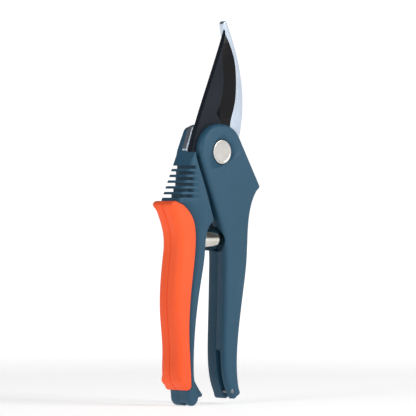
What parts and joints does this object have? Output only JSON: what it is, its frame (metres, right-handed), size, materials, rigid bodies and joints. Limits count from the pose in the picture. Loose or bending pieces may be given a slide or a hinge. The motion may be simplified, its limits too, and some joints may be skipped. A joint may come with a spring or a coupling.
{
  "type": "pruning shears",
  "caption": "Bypass pruning shears with two-shell handles, a soft grip on one handle, a hooked counter blade, a volute spring and an end catch",
  "frame": {"origin": "bottom centre of the object's box; the pivot bolt's axis passes through (4.2, 0, 133.9) mm", "axes": "+Z from the butts to the tips, -Y towards the bolt's head, +X towards the plain handle"},
  "size_m": [0.0648, 0.0166, 0.2039],
  "materials": {
    "handle_nylon": "satin moulded blue-grey",
    "grip_rubber": "soft matt orange",
    "coated_blade": "black non-stick coating",
    "hook_steel": "polished",
    "spring_steel": "bright rolled strip",
    "bolt_nickel": "satin nickel",
    "fastener_steel": "zinc plated",
    "bushing_steel": "turned",
    "catch_nylon": "satin moulded blue-grey"
  },
  "bodies": {
    "hook_lever": {"hook_blade": "hook_steel", "left_front_shell": "handle_nylon", "left_rear_shell": "handle_nylon", "grip_front": "grip_rubber", "grip_rear": "grip_rubber", "left_shell_screws": "fastener_steel", "hook_tang_pins": "fastener_steel", "pivot_bolt": "bolt_nickel", "pivot_washer": "bolt_nickel", "pivot_nut": "bolt_nickel", "volute_spring": "spring_steel", "catch_pin": "fastener_steel"},
    "blade_lever": {"cutting_blade": "coated_blade", "right_front_shell": "handle_nylon", "right_rear_shell": "handle_nylon", "right_shell_screws": "fastener_steel", "blade_tang_pins": "fastener_steel", "pivot_bushing": "bushing_steel", "catch_keeper_pin": "fastener_steel"},
    "catch": {"catch_lever": "catch_nylon"}
  },
  "joints": [
    {"name": "main_pivot", "type": "hinge", "parent": "hook_lever", "child": "blade_lever", "pos_m": [0.0042, 0, 0.1339], "axis": [0, -1, 0], "range_deg": [0, 26], "deforming": ["volute_spring"]},
    {"name": "catch_pivot", "type": "hinge", "parent": "hook_lever", "child": "catch", "pos_m": [-0.0143, -0.0021, 0.0074], "axis": [0, 1, 0], "range_deg": [0, 96]}
  ]
}
